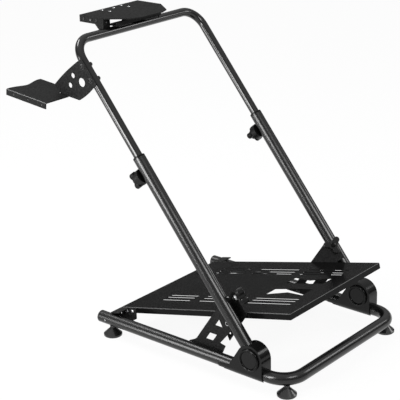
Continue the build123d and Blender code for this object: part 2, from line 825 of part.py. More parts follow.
def main():
    pieces = all_pieces()
    shift = origin_shift(pieces)
    os.makedirs("parts", exist_ok=True)
    for name, solid in pieces.items():
        export_step(Pos(shift) * solid, os.path.join("parts", name + ".step"))
    print("moved by", shift, "pieces", len(pieces))


if __name__ == "__main__":
    main()
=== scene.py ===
# %% [markdown]
# Racing wheel stand in black powder-coated steel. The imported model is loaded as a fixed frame: every tube,
# plate and knob is already there, in metres, with the floor at Z = 0. This lesson gives each piece its
# finish, adds the small fasteners and welds that hold the stand together, and sets up the camera and a soft
# studio.

# %% Load the frame
import json
import math
import bmesh
import bpy
import numpy as np
from mathutils import Matrix, Vector


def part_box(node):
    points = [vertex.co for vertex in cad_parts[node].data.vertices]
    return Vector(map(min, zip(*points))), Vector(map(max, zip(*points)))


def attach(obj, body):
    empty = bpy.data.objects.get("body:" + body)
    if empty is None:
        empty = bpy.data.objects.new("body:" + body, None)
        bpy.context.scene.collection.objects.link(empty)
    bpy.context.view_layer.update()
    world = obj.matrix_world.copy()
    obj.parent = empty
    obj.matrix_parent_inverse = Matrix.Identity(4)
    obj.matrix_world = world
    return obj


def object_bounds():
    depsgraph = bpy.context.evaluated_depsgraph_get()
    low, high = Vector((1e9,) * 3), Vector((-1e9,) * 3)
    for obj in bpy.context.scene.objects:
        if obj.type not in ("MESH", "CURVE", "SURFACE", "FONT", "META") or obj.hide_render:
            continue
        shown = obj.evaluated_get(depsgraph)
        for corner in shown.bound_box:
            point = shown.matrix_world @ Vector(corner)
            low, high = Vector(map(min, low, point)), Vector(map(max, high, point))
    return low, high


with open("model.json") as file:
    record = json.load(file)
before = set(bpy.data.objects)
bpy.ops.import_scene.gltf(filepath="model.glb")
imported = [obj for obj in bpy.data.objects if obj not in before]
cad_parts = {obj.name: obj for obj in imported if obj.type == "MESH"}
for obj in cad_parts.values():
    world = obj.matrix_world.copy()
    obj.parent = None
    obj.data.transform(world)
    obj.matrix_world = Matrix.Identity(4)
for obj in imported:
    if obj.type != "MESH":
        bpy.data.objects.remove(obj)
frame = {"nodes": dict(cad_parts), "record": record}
cad_low, cad_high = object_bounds()
scene = bpy.context.scene

# %% [markdown]
# The photograph was taken with a long lens from the front right, looking down by about twenty degrees. The
# camera's place was solved from the two pairs of parallel tubes. A long lens keeps the far leg almost as
# large as the near one. The camera could be aimed with a constraint, but three angles and a place say the
# same and keep the roll.

# %% Camera
IMAGE_SIZE = 400
SENSOR_MM = 36.0
FOCAL_PIXELS = 1293.0
CAMERA_PLACE = Vector((2.6510, 2.2166, 1.6751))
CAMERA_AZIMUTH = math.radians(130.311)
CAMERA_ELEVATION = math.radians(20.298)
CAMERA_ROLL = math.radians(-1.227)

camera_data = bpy.data.cameras.new("photo_camera")
camera_data.sensor_width = SENSOR_MM
camera_data.lens = FOCAL_PIXELS * SENSOR_MM / IMAGE_SIZE
camera = bpy.data.objects.new("photo_camera", camera_data)
scene.collection.objects.link(camera)
scene.camera = camera

back = Vector((math.sin(CAMERA_AZIMUTH) * math.cos(CAMERA_ELEVATION),
               -math.cos(CAMERA_AZIMUTH) * math.cos(CAMERA_ELEVATION),
               math.sin(CAMERA_ELEVATION)))
level = Vector((math.cos(CAMERA_AZIMUTH), math.sin(CAMERA_AZIMUTH), 0))
right = level * math.cos(CAMERA_ROLL) + back.cross(level) * math.sin(CAMERA_ROLL)
up = back.cross(right)
camera.matrix_world = Matrix.Translation(CAMERA_PLACE) @ Matrix((right, up, back)).transposed().to_4x4()
print("camera lens", round(camera_data.lens, 1), "mm at", tuple(round(v, 3) for v in CAMERA_PLACE))

# %% [markdown]
# Two small helpers serve every material: one turns a written colour into linear light, and one adds a
# shader node with its settings and its incoming links in a single line.

# %% Colours and shader nodes
MM = 0.001


def linear(hex_colour):
    """sRGB hex to linear light: (c/12.92) below 0.04045, else ((c+0.055)/1.055)^2.4."""
    channels = [int(hex_colour[i:i + 2], 16) / 255 for i in (1, 3, 5)]
    return tuple(c / 12.92 if c <= 0.04045 else ((c + 0.055) / 1.055) ** 2.4 for c in channels) + (1.0,)


def add(tree, kind, links=(), **settings):
    """Add one node: settings name its properties or inputs, links are (input, source socket) pairs."""
    node = tree.nodes.new(kind)
    for key, value in settings.items():
        if hasattr(node, key):
            setattr(node, key, value)
        else:
            node.inputs[key.replace("_", " ")].default_value = value
    for key, source in links:
        tree.links.new(source, node.inputs[key])
    return node


print("mid grey #808080 is", round(linear("#808080")[0], 3), "in linear light")

# %% [markdown]
# A white floor carries the stand, and it is the whole background. It is very wide, so that it still fills
# the picture when the camera comes down to about ten degrees. A curved backdrop would do that too, but it
# would be mirrored in the tubes.

# %% Floor
FLOOR_SPAN = 120.0
corner = FLOOR_SPAN / 2
floor_mesh = bpy.data.meshes.new("floor")
floor_corners = [(-corner, -corner, 0), (corner, -corner, 0), (corner, corner, 0), (-corner, corner, 0)]
floor_mesh.from_pydata(floor_corners, [], [(0, 1, 2, 3)])
floor = bpy.data.objects.new("floor", floor_mesh)
scene.collection.objects.link(floor)
print("floor", FLOOR_SPAN, "m wide")

# %% [markdown]
# To the camera and in reflections the floor is mostly plain white, with a little of its own lit surface
# mixed in, which keeps the soft shadow. Light that bounces from one matt surface to the next finds a grey
# floor instead, so that the undersides of the black stand stay dark. More lamps could whiten the floor
# too, but they would wash out the black.

# %% Floor finish
SHADOW_SHARE = 0.08
FLOOR_WHITE = "#F8F8F8"
FLOOR_BOUNCE_GREY = "#808080"

# matt white paint: it gives the eye an even white ground with one soft shadow
floor_finish = bpy.data.materials.new("white_studio_floor")
floor_finish.use_nodes = True
tree = floor_finish.node_tree
tree.nodes.clear()
rays = add(tree, "ShaderNodeLightPath")
seen = add(tree, "ShaderNodeMath", operation="MAXIMUM",
           links=((0, rays.outputs["Is Camera Ray"]), (1, rays.outputs["Is Glossy Ray"])))
seen = add(tree, "ShaderNodeMath", operation="MAXIMUM",
           links=((0, seen.outputs[0]), (1, rays.outputs["Is Transmission Ray"])))
share = add(tree, "ShaderNodeMath", operation="MULTIPLY", links=((0, seen.outputs[0]),))
share.inputs[1].default_value = 1 - SHADOW_SHARE
bounce = add(tree, "ShaderNodeMix", data_type="RGBA", links=((0, rays.outputs["Is Diffuse Ray"]),))
bounce.inputs[6].default_value = linear(FLOOR_WHITE)
bounce.inputs[7].default_value = linear(FLOOR_BOUNCE_GREY)
matt_white = add(tree, "ShaderNodeBsdfDiffuse", links=(("Color", bounce.outputs[2]),))
plain_white = add(tree, "ShaderNodeEmission", Color=(1, 1, 1, 1), Strength=1.0)
mixed = add(tree, "ShaderNodeMixShader",
            links=((0, share.outputs[0]), (1, matt_white.outputs[0]), (2, plain_white.outputs[0])))
add(tree, "ShaderNodeOutputMaterial", links=((0, mixed.outputs[0]),))
floor_mesh.materials.append(floor_finish)
print("floor finish:", floor_finish.name)

# %% [markdown]
# A black stand shows only what it reflects, so the room round it is part of its look. The room is dark near
# the horizon, because the sloping tray mirrors that part towards the camera and the tray is nearly black in
# the picture. Higher up it grows lighter, and it is lightest overhead. One world colour would be simpler,
# but it would turn either the tray grey or the upper edges black. The heights are those of a ray of length
# 1.

# %% Dim room
DARK_BELOW = 0.045
GLOW_ABOVE = 0.20
DARK_STRENGTH = 0.02
GLOW_STRENGTH = 0.30
OVERHEAD_STRENGTH = 0.70
ROOM_WHITE = "#F2F2F2"

scene.view_settings.view_transform = "Standard"
world = bpy.data.worlds.new("dim_studio")
world.use_nodes = True
scene.world = world
tree = world.node_tree
tree.nodes.clear()
overhead = add(tree, "ShaderNodeTexCoord")
ray = add(tree, "ShaderNodeSeparateXYZ", links=((0, overhead.outputs["Generated"]),))
horizon = add(tree, "ShaderNodeMapRange", links=(("Value", ray.outputs["Z"]),),
              From_Min=DARK_BELOW, From_Max=GLOW_ABOVE, To_Min=DARK_STRENGTH, To_Max=GLOW_STRENGTH)
zenith = add(tree, "ShaderNodeMapRange", links=(("Value", ray.outputs["Z"]),),
             From_Min=GLOW_ABOVE, From_Max=1.0, To_Min=0.0, To_Max=OVERHEAD_STRENGTH)
dome = add(tree, "ShaderNodeMath", operation="ADD", links=((0, horizon.outputs[0]), (1, zenith.outputs[0])))
room = add(tree, "ShaderNodeBackground", links=(("Strength", dome.outputs[0]),), Color=linear(ROOM_WHITE))
add(tree, "ShaderNodeOutputWorld", links=((0, room.outputs[0]),))
print("room strength", DARK_STRENGTH, "at the horizon,", GLOW_STRENGTH + OVERHEAD_STRENGTH, "overhead")

# %% [markdown]
# On each round tube the photograph has thin bright lines with dark coat between them. Each line tells where
# a lamp is: the tube's own direction and the place of the line across it give the mirrored direction. That
# leads to two strips on the right, one slanting and one upright, a box high in front, one high behind, and
# a weak one on the left for the far rims. Point lamps would give dots instead of lines.

# %% Soft boxes
def soft_box(name, place, width, height, watts, along=(0, 0, 0)):
    """Rectangular area lamp that faces the stand's middle; its width runs level, or along a direction."""
    lamp = bpy.data.lights.new(name, "AREA")
    lamp.shape = "RECTANGLE"
    lamp.size = width
    lamp.size_y = height
    lamp.energy = watts
    box = bpy.data.objects.new(name, lamp)
    away = (Vector(place) - (cad_low + cad_high) / 2).normalized()
    across = Vector(along) if any(along) else Vector((0, 0, 1)).cross(away)
    across = (across - away * across.dot(away)).normalized()
    facing_stand = Matrix((across, away.cross(across), away)).transposed().to_4x4()
    box.matrix_world = Matrix.Translation(place) @ facing_stand
    scene.collection.objects.link(box)


soft_box("slanting_right_strip", place=(2.6, -0.2, 1.0), width=1.4, height=0.6, watts=50,
         along=(0, 0.54, 0.84))
soft_box("upright_right_strip", place=(2.45, -1.58, 0.70), width=0.5, height=1.3, watts=26)
soft_box("front_box", place=(0.66, 2.85, 2.55), width=1.6, height=0.6, watts=36)
soft_box("back_box", place=(0.35, -1.75, 2.9), width=1.2, height=0.7, watts=32)
soft_box("left_box", place=(-2.0, 1.75, 1.55), width=0.7, height=0.6, watts=9)
print("soft boxes:", [lamp.name for lamp in bpy.data.lights])

# %% [markdown]
# The steel is powder coated black. The powder melts into an even film with a fine pebble like orange peel.
# It is dielectric paint, not metal: most of the grey in it is reflection. Along a fold the sheet is rounded
# and catches the light as a thin grey line, so the colour there is made lighter: a painted highlight. A Bevel
# node could find such edges, but it also lights the cut edges, which are dark here. The normal tells them
# apart: on a flat face that is square to the axes one part of it is nearly 1, and on a rounded fold none is.

# %% Coats and mouldings
CLOUD_MM = 60
CLOUD_SPREAD = 0.15
PEBBLE_LOW = 0.3
PEBBLE_HIGH = 0.7
PEBBLE_STRENGTH = 0.4
# where the painted fold highlight starts and is full, and the share of the lighter colour in it
FOLD_HIGHLIGHT_STARTS = 0.95
FOLD_HIGHLIGHT_FULL = 0.85
FOLD_HIGHLIGHT_SHARE = 0.8


def painted_fold_highlight(tree, place, film, fold_highlight_hex):
    """Painted highlight on folds: colour with a lighter one mixed in as max(|x|, |y|, |z|) of the normal
    falls from 0.95 to 0.85.
    """
    normal = add(tree, "ShaderNodeVectorMath", operation="ABSOLUTE", links=((0, place.outputs["Normal"]),))
    part = add(tree, "ShaderNodeSeparateXYZ", links=((0, normal.outputs[0]),))
    largest = add(tree, "ShaderNodeMath", operation="MAXIMUM",
                  links=((0, part.outputs["X"]), (1, part.outputs["Y"])))
    largest = add(tree, "ShaderNodeMath", operation="MAXIMUM",
                  links=((0, largest.outputs[0]), (1, part.outputs["Z"])))
    fold = add(tree, "ShaderNodeMapRange", links=(("Value", largest.outputs[0]),),
               From_Min=FOLD_HIGHLIGHT_STARTS, From_Max=FOLD_HIGHLIGHT_FULL, To_Min=0.0, To_Max=FOLD_HIGHLIGHT_SHARE)
    mixed = add(tree, "ShaderNodeMix", data_type="RGBA", links=((0, fold.outputs[0]), (6, film)))
    mixed.inputs[7].default_value = linear(fold_highlight_hex)
    return mixed.outputs[2]


def coat(name, hex_colour, rough, grain_mm, depth_mm, speck=0.0, metallic=0.0, gloss=0.5, fold_highlight_hex=None):
    """Coat or moulding in Object coordinates: pebble bump, pitted colour, cloudy roughness, painted highlight
    on folds.
    """
    finish = bpy.data.materials.new(name)
    finish.use_nodes = True
    tree = finish.node_tree
    tree.nodes.clear()
    place = add(tree, "ShaderNodeTexCoord")
    pebble = add(tree, "ShaderNodeTexNoise", links=(("Vector", place.outputs["Object"]),),
                 Scale=1 / (grain_mm * MM), Detail=2.0, Roughness=0.5)
    cloud = add(tree, "ShaderNodeTexNoise", links=(("Vector", place.outputs["Object"]),),
                Scale=1 / (CLOUD_MM * MM), Detail=4.0, Roughness=0.6)
    uneven = add(tree, "ShaderNodeMapRange", links=(("Value", cloud.outputs["Fac"]),),
                 To_Min=rough * (1 - CLOUD_SPREAD), To_Max=rough * (1 + CLOUD_SPREAD))
    tone = add(tree, "ShaderNodeMapRange", links=(("Value", pebble.outputs["Fac"]),),
               From_Min=PEBBLE_LOW, From_Max=PEBBLE_HIGH, To_Min=1 - speck, To_Max=1 + speck)
    film = add(tree, "ShaderNodeVectorMath", operation="SCALE", links=(("Scale", tone.outputs[0]),))
    film.inputs[0].default_value = linear(hex_colour)[:3]
    # where a fold colour is given, the folds get a lighter colour: a painted highlight
    colour = painted_fold_highlight(tree, place, film.outputs[0], fold_highlight_hex) if fold_highlight_hex else film.outputs[0]
    bump = add(tree, "ShaderNodeBump", links=(("Height", pebble.outputs["Fac"]),),
               Strength=PEBBLE_STRENGTH, Distance=depth_mm * MM)
    surface = add(tree, "ShaderNodeBsdfPrincipled",
                  links=(("Base Color", colour), ("Roughness", uneven.outputs[0]),
                         ("Normal", bump.outputs[0])),
                  Metallic=metallic, Specular_IOR_Level=gloss)
    add(tree, "ShaderNodeOutputMaterial", links=((0, surface.outputs[0]),))
    return finish


print("pebble and cloud patterns ready, cloud", CLOUD_MM, "mm wide")

# %% [markdown]
# On the tubes and the tray the powder flowed out to a satin gloss, a little glossier on the inner tube. On
# the small pressed sheets it is a fine-texture powder, with tiny dark pits that scatter the light. The
# knobs, end caps and feet are moulded plastic with a spark-eroded grain, and the rings at the hinges and
# bushes are polished. Nuts and screws are zinc plated or blackened. One function makes them all, because
# they differ only in a few numbers.

# %% Finishes
# the pebble of real powder is under a millimetre; it is drawn coarser so that it shows at this image size

# satin powder on tube: deep black with soft-edged bright lines along it
satin_coat = coat("satin_black_powder_coat", "#0C0C0C", 0.25, 3.0, 0.002, speck=0.06, gloss=0.50)
# the inner tube slides in a bush: sharper, brighter lines
slide_coat = coat("glossy_black_coat_on_inner_tube", "#0A0A0A", 0.18, 3.0, 0.002, speck=0.06, gloss=0.55)
# hood round the hinge: smooth, with a dim mirror of the room
hood_coat = coat("satin_black_coat_on_hood", "#0E0E0E", 0.20, 3.0, 0.002, speck=0.06, gloss=0.22)
# tray: nearly black and even, with a painted grey highlight along each fold
tray_coat = coat("satin_black_coat_on_sheet", "#0E0E0E", 0.14, 3.0, 0.002, speck=0.06, gloss=0.08,
                 fold_highlight_hex="#626262")
# fine-texture powder: dull charcoal with dark pits
texture_coat = coat("fine_texture_black_powder_coat", "#202020", 0.55, 4.5, 0.12, speck=0.55, gloss=0.08)
# the same powder on folded sheet: dull charcoal, with a painted pale highlight on each fold
folded_coat = coat("fine_texture_black_coat_on_folded_sheet", "#202020", 0.55, 4.5, 0.12, speck=0.55,
                   gloss=0.08, fold_highlight_hex="#808080")
# grained moulding: black with broad, weak highlights
knob_plastic = coat("moulded_black_abs", "#0E0E0E", 0.36, 1.6, 0.04, speck=0.15, gloss=0.25)
# polished moulding: blacker than the steel round it, with small glints
ring_plastic = coat("polished_black_abs", "#080808", 0.16, 2.0, 0.002, gloss=0.16)
# smooth moulding: dark grey with a clear streak on each cone
foot_plastic = coat("moulded_black_polypropylene", "#161616", 0.24, 1.6, 0.01, speck=0.12, gloss=0.60)
# zinc plating: pale silver, frosted
zinc_steel = coat("zinc_plated_steel", "#C9CACB", 0.42, 0.8, 0.01, speck=0.06, metallic=1.0)
# oxide film on steel: soft black, hardly told from the coat round it
black_bolt = coat("blackened_steel", "#1B1B1B", 0.34, 0.8, 0.02, speck=0.10, gloss=0.45)
print("finishes from", satin_coat.name, "to", black_bolt.name)

# %% [markdown]
# Each solid takes its finish by the start of its name, because the left and right pieces share it. All
# names that aren't listed are small pressed sheets, which have the fine-texture powder.

# %% Finish of each piece
FINISH_OF = (
    (("foot_",), foot_plastic),
    (("pivot_cap", "tube_bush"), ring_plastic),
    (("height_knob", "brace_knob", "base_end_cap"), knob_plastic),
    (("pivot_bolt", "brace_spacer"), zinc_steel),
    (("base_tube", "lower_upright"), satin_coat),
    (("top_frame",), slide_coat),
    (("hinge_bracket",), hood_coat),
    (("pedal_plate",), tray_coat),
    (("shifter_plate",), folded_coat),
)
for node_name, node in frame["nodes"].items():
    finish = next((finish for starts, finish in FINISH_OF if node_name.startswith(starts)), texture_coat)
    node.data.materials.clear()
    node.data.materials.append(finish)
print("finishes on", len(frame["nodes"]), "nodes")

# %% [markdown]
# Small pieces are placed from the stand itself: its middle plane, the hinge axis, and the lean of the
# uprights, which is the direction that the top frame slides in. Places are written in millimetres, as on a
# drawing, and turned into metres at the end. Placing by hand in the viewport would be quicker, but nobody
# could check it.

# %% Places on the stand
tube_low, tube_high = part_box("base_tube")
upright_low, upright_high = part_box("lower_upright_right")
pivot_low, pivot_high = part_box("pivot_bolt_right")
MIDDLE_X = (tube_low.x + tube_high.x) / 2 / MM
HALF_TRACK = (upright_low.x + upright_high.x) / 2 / MM - MIDDLE_X
UPRIGHT_R = (upright_high.x - upright_low.x) / 2 / MM
TUBE_AXIS_HEIGHT = 49.0
PIVOT = (pivot_low + pivot_high) / 2 / MM
slide = next(joint for joint in frame["record"]["behaviour"]["joints"] if joint["name"] == "height")
LEAN = math.atan2(-slide["axis"][1], slide["axis"][2])
SIDES = {1: "right", -1: "left"}


def on_upright(side_x, along, forward):
    """Point in mm: sideways from the middle plane, along the leaning tube from its hinge, forward of it."""
    return (MIDDLE_X + side_x, PIVOT.y - along * math.sin(LEAN) + forward * math.cos(LEAN),
            PIVOT.z + along * math.cos(LEAN) + forward * math.sin(LEAN))


def from_hinge(side_x, forward, height):
    """Point in mm: sideways from the middle plane, forward of the hinge axis, height above the floor."""
    return (MIDDLE_X + side_x, PIVOT.y + forward, height)


def facing(point_mm, axis, spin=0.0):
    """4x4 matrix in metres that puts local Z along an axis at a point, turned about it by a spin angle."""
    turn = Vector(axis).to_track_quat("Z", "Y").to_matrix().to_4x4() @ Matrix.Rotation(spin, 4, "Z")
    return np.array(Matrix.Translation(Vector(point_mm) * MM) @ turn)


print("hinge axis at Y, Z", round(PIVOT.y, 1), round(PIVOT.z, 1), "mm")
print("lean of the uprights", round(math.degrees(LEAN), 2), "degrees")

# %% [markdown]
# Every new piece here is a grid of rings, so two functions finish them all: one numbers the quads between
# the rings, and one makes the mesh, merges the points that meet at a pole, turns the faces outwards and
# hands the piece to the body that carries it.

# %% Meshes of rings
MERGE_M = 1e-6


def ring_quads(rows, columns, copies):
    """Quads of a closed ring grid, from row r to r + 1 and column c to c + 1, for each copy of it."""
    row, col = np.meshgrid(np.arange(rows - 1), np.arange(columns), indexing="ij")
    after = (col + 1) % columns
    quads = np.stack([row * columns + col, row * columns + after, (row + 1) * columns + after,
                      (row + 1) * columns + col], -1).reshape(1, -1, 4)
    return (quads + (np.arange(copies) * rows * columns)[:, None, None]).reshape(-1, 4)


def finished_piece(name, points, quads, body, finish):
    """Mesh from points in metres and quads: doubles merged, faces turned outwards, carried by a body."""
    mesh = bpy.data.meshes.new(name)
    mesh.from_pydata(points.tolist(), [], quads.tolist())
    shape = bmesh.new()
    shape.from_mesh(mesh)
    bmesh.ops.remove_doubles(shape, verts=shape.verts, dist=MERGE_M)
    bmesh.ops.recalc_face_normals(shape, faces=shape.faces)
    shape.to_mesh(mesh)
    shape.free()
    mesh.materials.append(finish)
    piece = bpy.data.objects.new(name, mesh)
    scene.collection.objects.link(piece)
    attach(piece, body)
    print(name, "on", body, "with", len(mesh.polygons), "faces")


# %% [markdown]
# Screws, nuts and washers are all turned about an axis, and some of their rings are hexagons. So one
# function makes them all: a profile of radius and height is carried round the axis, and each profile point
# says whether its ring is round or six-sided. The same fastener at several places becomes one mesh, by
# moving its points with each place's matrix at once. Linked copies would be lighter, but then each copy
# would be a piece of its own.

# %% Turned fasteners
RING_STEPS = 24
ring_angle = np.linspace(0, 2 * np.pi, RING_STEPS, endpoint=False)
HEXAGON = 1 / np.cos((ring_angle + np.pi / 6) % (np.pi / 3) - np.pi / 6)


def turned(name, profile, places, body, finish):
    """Rings r(p) * (1 or hexagon(angle)) at height z(p), joined ring to ring, repeated at each place."""
    radius, height, six_sided = np.array(profile, float).T
    ring = radius[:, None] * np.where(six_sided[:, None] > 0, HEXAGON, 1.0)
    height = np.broadcast_to(height[:, None], ring.shape)
    grid = np.stack([ring * np.cos(ring_angle), ring * np.sin(ring_angle), height], -1)
    points = np.concatenate([grid * MM, np.ones(ring.shape + (1,))], -1).reshape(-1, 4)
    points = np.einsum("kij,nj->kni", np.array(places), points)[..., :3].reshape(-1, 3)
    finished_piece(name, points, ring_quads(len(radius), RING_STEPS, len(places)), body, finish)


def button_head(d, h, socket):
    """Profile of a button-head screw: hexagon socket 2 mm deep, domed top, flat underside."""
    r = d / 2
    floor_h = h - 2.0
    return ((0, floor_h, 0), (socket / 2, floor_h, 1), (socket / 2, h, 1), (socket * 0.72, h, 0),
            (r * 0.82, h * 0.72, 0), (r, h * 0.25, 0), (r, 0, 0), (0, 0, 0))


def washer(d, bore, h):
    """Profile of a flat ring."""
    return (bore / 2, 0, 0), (bore / 2, h, 0), (d / 2, h, 0), (d / 2, 0, 0), (bore / 2, 0, 0)


def hex_nut(across, h, bore):
    """Profile of a hexagon nut with chamfered corners and a bored hole."""
    r = across / 2
    return ((bore / 2, 0, 0), (r * 0.94, 0, 0), (r, h * 0.15, 1), (r, h * 0.85, 1), (r * 0.94, h, 0),
            (bore / 2, h, 0), (bore / 2, 0, 0))


print("turned profiles of", RING_STEPS, "steps")

# %% [markdown]
# The feet stand on threaded studs. A lock nut fills the space between the cone of each foot and the tube.
# It is centred on the foot's own box, so it follows the foot wherever that stands.

# %% Foot lock nuts
FOOT_NUT_HEIGHT = 25.0
foot_nuts = []
for name in ("foot_user_right", "foot_user_left", "foot_front_right", "foot_front_left"):
    foot_low, foot_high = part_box(name)
    foot_middle = (foot_low + foot_high) / 2 / MM
    foot_nuts.append(facing((foot_middle.x, foot_middle.y, FOOT_NUT_HEIGHT), (0, 0, 1), spin=0.4))
turned("foot_lock_nut", hex_nut(15, 6.3, 10.1), foot_nuts, "base", black_bolt)

# %% [markdown]
# Two screws hold each end bracket of the pedal tray, and one holds the plug in each open end of the base
# tube. The ear of the tray is screwed to its lip, and one long screw ties it through the spacer to the
# brace, with a zinc washer under its head. Two more screws hold the brace's foot. Their heads sit on the
# faces that the frame gives.

# %% Screws on the base
tray_low, tray_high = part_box("pedal_plate")
spacer_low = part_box("brace_spacer_right")[0]
brace_low, brace_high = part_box("side_brace_right")
LIP_FACE = (tray_high.x - tray_low.x) / 2 / MM
EAR_FACE = spacer_low.x / MM - MIDDLE_X
BRACE_INNER_FACE = brace_low.x / MM - MIDDLE_X
BRACE_OUTER_FACE = brace_high.x / MM - MIDDLE_X
PLUG_SCREW_SINK = 0.15
PLUG_SCREW_FACE = HALF_TRACK + UPRIGHT_R - PLUG_SCREW_SINK
PLUG_SCREW_FORWARD = -533.0
TRAY_SCREWS = ((-498.0, 67.0), (-476.8, 72.3))
EAR_SCREWS = ((-135.0, 160.0), (-92.0, 171.5))
BRACE_SCREW = (-108.7, 147.5)
BRACE_FOOT_SCREWS = (-210.0, -160.0)

tray_screws, plug_screws, ear_screws, brace_screws, ear_nuts, foot_screws = [], [], [], [], [], []
for side in SIDES:
    outward = (side, 0, 0)
    inward = (-side, 0, 0)
    tray_screws += [facing(from_hinge(side * EAR_FACE, *spot), outward, spin=0.3) for spot in TRAY_SCREWS]
    plug_spot = from_hinge(side * PLUG_SCREW_FACE, PLUG_SCREW_FORWARD, TUBE_AXIS_HEIGHT)
    plug_screws.append(facing(plug_spot, outward, spin=0.2))
    ear_screws += [facing(from_hinge(side * EAR_FACE, *spot), outward, spin=0.5) for spot in EAR_SCREWS]
    brace_screws.append(facing(from_hinge(side * BRACE_OUTER_FACE, *BRACE_SCREW), outward))
    ear_nuts.append(facing(from_hinge(side * LIP_FACE, *BRACE_SCREW), inward, spin=0.2))
    foot_screws += [facing(from_hinge(side * BRACE_INNER_FACE, forward, TUBE_AXIS_HEIGHT), inward, spin=0.3)
                    for forward in BRACE_FOOT_SCREWS]
turned("tray_screw", button_head(10.5, 3.3, 4), tray_screws, "base", zinc_steel)
turned("plug_screw", button_head(5.0, 1.8, 2.0), plug_screws, "base", zinc_steel)
turned("ear_screw", button_head(10.5, 3.3, 4), ear_screws, "base", black_bolt)
turned("brace_washer", washer(11.6, 6.0, 0.8), brace_screws, "base", zinc_steel)
turned("brace_screw", button_head(8.6, 3.0, 4), brace_screws, "base", black_bolt)
turned("ear_nut", hex_nut(13, 5.5, 7.9), ear_nuts, "base", zinc_steel)
turned("brace_foot_screw", button_head(12.5, 3.6, 5), foot_screws, "base", black_bolt)

# %% [markdown]
# The end bracket of the tray reaches over to the base tube with a level wing. The end of the wing is folded
# down and stands on the tube, so its lower edge follows the tube's round: height h(x) = sqrt(r^2 - x^2)
# above the tube's axis. A boolean cut could shape that edge, but rings of four corners along the wing give
# it straight from the formula. The round is that of the tube as it is drawn, with its facets, so that the
# edge lies just on it.

# %% Folded ends of the bracket wings
DRAWN_TUBE_R = (tube_high.z - tube_low.z) / 2 / MM
DRAWN_AXIS_HEIGHT = (tube_high.z + tube_low.z) / 2 / MM
FOLD_THICK = 3.0
FOLD_RINGS = 16
FOLD_GAP = 0.2
FOLD_REACH = 255.0
FOLD_LOWEST = 2.2
FOLD_HEAD_HEIGHT = 67.4
FOLD_SET_BACK = 0.4

fold_points = []
for side, word in SIDES.items():
    wing_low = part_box("pedal_end_bracket_" + word)[0]
    x = np.linspace(EAR_FACE + FOLD_GAP, FOLD_REACH, FOLD_RINGS)
    off_axis = np.clip(HALF_TRACK - x, 0, DRAWN_TUBE_R)
    rise = np.maximum(FOLD_LOWEST, np.sqrt(DRAWN_TUBE_R ** 2 - off_axis ** 2) + FOLD_GAP)
    foot = DRAWN_AXIS_HEIGHT + rise
    head = np.full_like(x, FOLD_HEAD_HEIGHT)
    user_y = wing_low.y / MM + FOLD_SET_BACK
    front_y = user_y + FOLD_THICK
    ring_y = np.array([user_y, front_y, front_y, user_y])
    ring_z = np.stack([foot, foot, head, head], 1)
    grid = np.stack(np.broadcast_arrays(MIDDLE_X + side * x[:, None], ring_y[None, :], ring_z), -1)
    poles = grid[[0, -1]].mean(1, keepdims=True).repeat(4, 1)
    grid = np.concatenate([poles[:1], grid, poles[1:]])
    fold_points.append(grid.reshape(-1, 3) * MM)
finished_piece("end_wing_fold", np.concatenate(fold_points), ring_quads(FOLD_RINGS + 2, 4, 2), "base",
               texture_coat)

# %% [markdown]
# Each hinge cap is a polished plastic ring round a flat disc that is painted like the cheek behind it. The
# ring is the CAD cap; the disc is a thin turned plate that lies in it.

# %% Hinge discs
DISC_RISE = 3.0
DISC_PROFILE = ((0, 0.5, 0), (22.5, 0.5, 0), (23.4, 0.3, 0), (23.8, 0, 0), (0, 0, 0))

discs = []
for side, word in SIDES.items():
    for place, other in (("outer", "inner"), ("inner", "outer")):
        cap_low, cap_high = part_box("pivot_cap_" + place + "_" + word)
        other_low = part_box("pivot_cap_" + other + "_" + word)[0]
        outward = 1 if cap_low.x > other_low.x else -1
        face_x = (cap_low.x if outward > 0 else cap_high.x) / MM + outward * DISC_RISE
        discs.append(facing((face_x, PIVOT.y, PIVOT.z), (outward, 0, 0)))
turned("hinge_disc", DISC_PROFILE, discs, "base", hood_coat)

# %% [markdown]
# The flange of each ear has a zinc-plated weld nut on its back, in which the screw of the brace knob turns.
# It is the bright spot that shows between the flange and the tube. Every knob has a round cover over its
# screw, and the cover rides on the knob, so that it turns with it.

# %% Knob nuts and covers
FLANGE_SPOT = (161.5, 26.27)
FLANGE_SPOT_X = 224.67
WELD_NUT_BEHIND = 9.0
BRACE_COVER_OUT = 21.3
HEIGHT_KNOB_ALONG = 573.0
HEIGHT_KNOB_GAP = 1.5
HEIGHT_KNOB_DEPTH = 36.0
COVER_PROFILE = ((0, 1.4, 0), (4.5, 1.2, 0), (6.8, 0.7, 0), (7.6, 0.0, 0), (0, 0, 0))


def flange_axis(side):
    """Direction of a brace knob's screw: half way between inwards and forward of the leaning tube."""
    half = math.sqrt(0.5)
    return Vector((-side * half, half * math.cos(LEAN), half * math.sin(LEAN)))


weld_nuts = []
for side in SIDES:
    spot = Vector(on_upright(side * FLANGE_SPOT_X, *FLANGE_SPOT))
    weld_nuts.append(facing(spot - flange_axis(side) * WELD_NUT_BEHIND, flange_axis(side), spin=0.3))
turned("flange_weld_nut", hex_nut(13, 5.9, 8.2), weld_nuts, "base", zinc_steel)
for side, word in SIDES.items():
    top = on_upright(side * HALF_TRACK, HEIGHT_KNOB_ALONG, -UPRIGHT_R - HEIGHT_KNOB_GAP - HEIGHT_KNOB_DEPTH)
    turned("height_knob_cover_" + word, COVER_PROFILE, [facing(top, (0, -math.cos(LEAN), -math.sin(LEAN)))],
           "height_knob_" + word, ring_plastic)
    top = Vector(on_upright(side * FLANGE_SPOT_X, *FLANGE_SPOT)) + flange_axis(side) * BRACE_COVER_OUT
    turned("brace_knob_cover_" + word, COVER_PROFILE, [facing(top, flange_axis(side))],
           "brace_knob_" + word, ring_plastic)

# %% [markdown]
# The shifter arm is bolted through the leg: blackened button heads on washers outside, cap nuts on the
# inside of the tube. A cap nut is a short hexagon under a dome, so it is one more turned profile.

